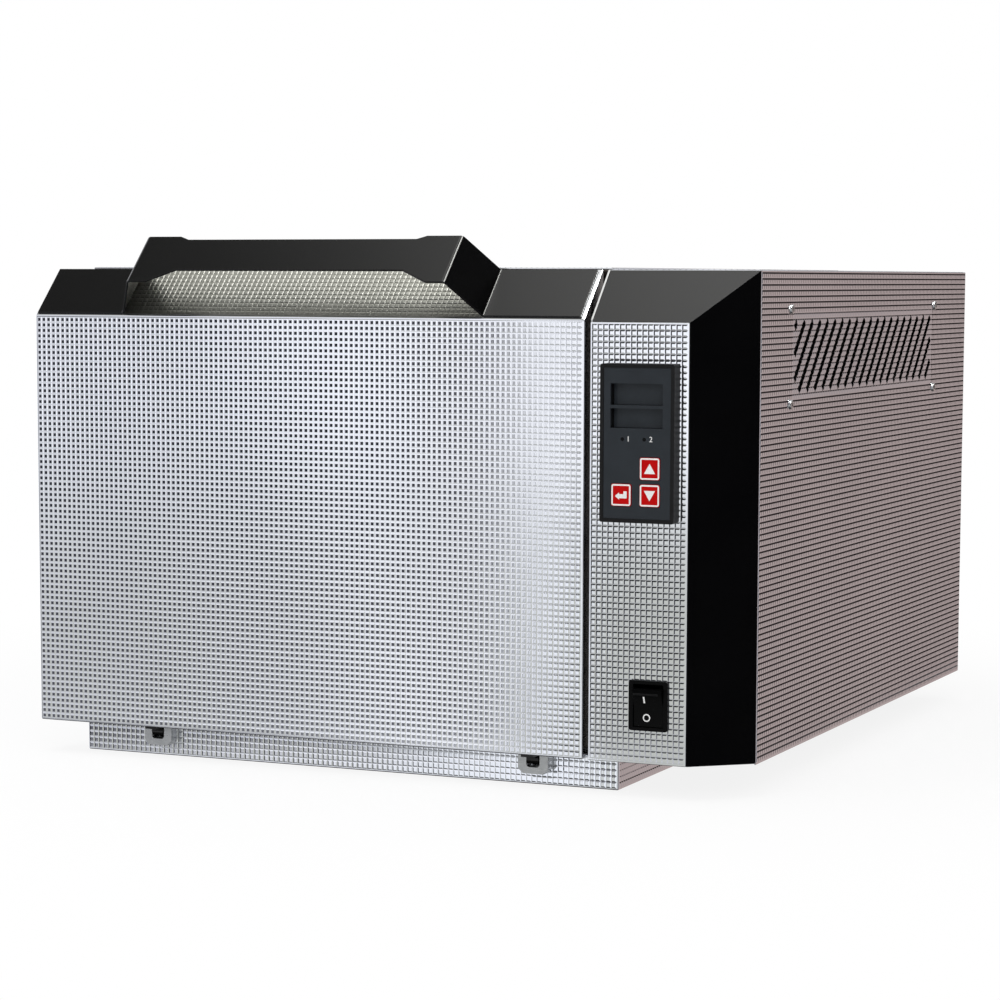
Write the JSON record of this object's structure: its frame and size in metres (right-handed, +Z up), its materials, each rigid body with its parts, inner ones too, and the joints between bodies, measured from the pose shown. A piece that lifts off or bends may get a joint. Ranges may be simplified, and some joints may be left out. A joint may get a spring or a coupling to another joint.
{
  "type": "bench-top chamber furnace",
  "caption": "Bench-top chamber furnace with a drop-down insulated front door under a strap handle, a side control strip and a vented right cover.",
  "frame": {"origin": "centre of the plinth's footprint, on the table", "axes": "+X to the right seen from the front, +Y to the back, +Z up"},
  "size_m": [0.4967, 0.5352, 0.3433],
  "materials": {
    "stainless": "satin",
    "plain_steel": "satin",
    "black_paint": "satin",
    "filter": "matte",
    "screw": "satin",
    "hot_board": "matte",
    "back_board": "matte",
    "alumina": "matte",
    "hearth": "matte",
    "element": "matte",
    "brass": "satin",
    "plated_brass": "satin",
    "aluminium": "satin",
    "black_plastic": "satin",
    "slate_face": "satin",
    "screen": "gloss",
    "red_key": "satin",
    "switch_black": "satin",
    "pale_plastic": "satin",
    "hinge_steel": "satin",
    "seal_rope": "matte"
  },
  "bodies": {
    "casing": {"plinth": "stainless", "base_pan": "plain_steel", "left_panel": "stainless", "partition": "stainless", "front_frame": "stainless", "top_cover": "stainless", "rear_panel": "stainless", "right_cover": "stainless", "vent_filter": "filter", "vent_guard": "plain_steel", "vent_screws": "screw", "case_screws": "screw", "fascia": "stainless", "bevel_trim": "black_paint", "hot_floor": "hot_board", "hot_roof": "hot_board", "hot_left": "hot_board", "hot_right": "hot_board", "hot_rear": "hot_board", "back_floor": "back_board", "back_roof": "back_board", "back_left": "back_board", "back_right": "back_board", "back_rear": "back_board", "lead_sleeves": "alumina", "hearth_plate": "hearth", "element_left": "element", "element_right": "element", "element_terminals": "brass", "thermocouple": "alumina", "flue_tube": "alumina", "controller_case": "black_plastic", "controller_face": "slate_face", "screen_upper": "screen", "screen_lower": "screen", "controller_clips": "black_plastic", "switch_frame": "switch_black", "heat_sink": "aluminium", "relay": "black_plastic", "terminal_block": "pale_plastic", "mains_inlet": "black_plastic", "inlet_blades": "plated_brass", "fuse_holder": "black_plastic", "door_switch": "black_plastic", "hinge_leaves": "hinge_steel", "hinge_pins": "hinge_steel"},
    "door": {"door_skin": "stainless", "door_pan": "stainless", "door_insulation": "back_board", "door_plug": "hot_board", "door_seal": "seal_rope", "handle": "black_paint", "handle_studs": "screw", "hinge_knuckles": "black_paint"},
    "key_up": {"key_up": "red_key"},
    "key_down": {"key_down": "red_key"},
    "key_return": {"key_return": "red_key"},
    "rocker": {"switch_rocker": "switch_black"},
    "plunger": {"door_plunger": "pale_plastic"}
  },
  "joints": [
    {"name": "door_hinge", "type": "hinge", "parent": "casing", "child": "door", "pos_m": [0, -0.2308, 0.0175], "axis": [1, 0, 0], "range_deg": [0, 85]},
    {"name": "rocker_tilt", "type": "hinge", "parent": "casing", "child": "rocker", "pos_m": [0.21965, -0.241, 0.0577], "axis": [-1, 0, 0], "range_deg": [0, 20]},
    {"name": "key_up_press", "type": "slide", "parent": "casing", "child": "key_up", "axis": [0, 1, 0], "range_m": [0, 0.0007], "stiffness_N_per_m": 1500},
    {"name": "key_down_press", "type": "slide", "parent": "casing", "child": "key_down", "axis": [0, 1, 0], "range_m": [0, 0.0007], "stiffness_N_per_m": 1500},
    {"name": "key_return_press", "type": "slide", "parent": "casing", "child": "key_return", "axis": [0, 1, 0], "range_m": [0, 0.0007], "stiffness_N_per_m": 1500},
    {"name": "plunger_slide", "type": "slide", "parent": "casing", "child": "plunger", "axis": [0, -1, 0], "range_m": [0, 0.003]}
  ],
  "couplings": [
    {"joint": "plunger_slide", "follows": "door_hinge", "m_per_rad": 0.0019818}
  ]
}
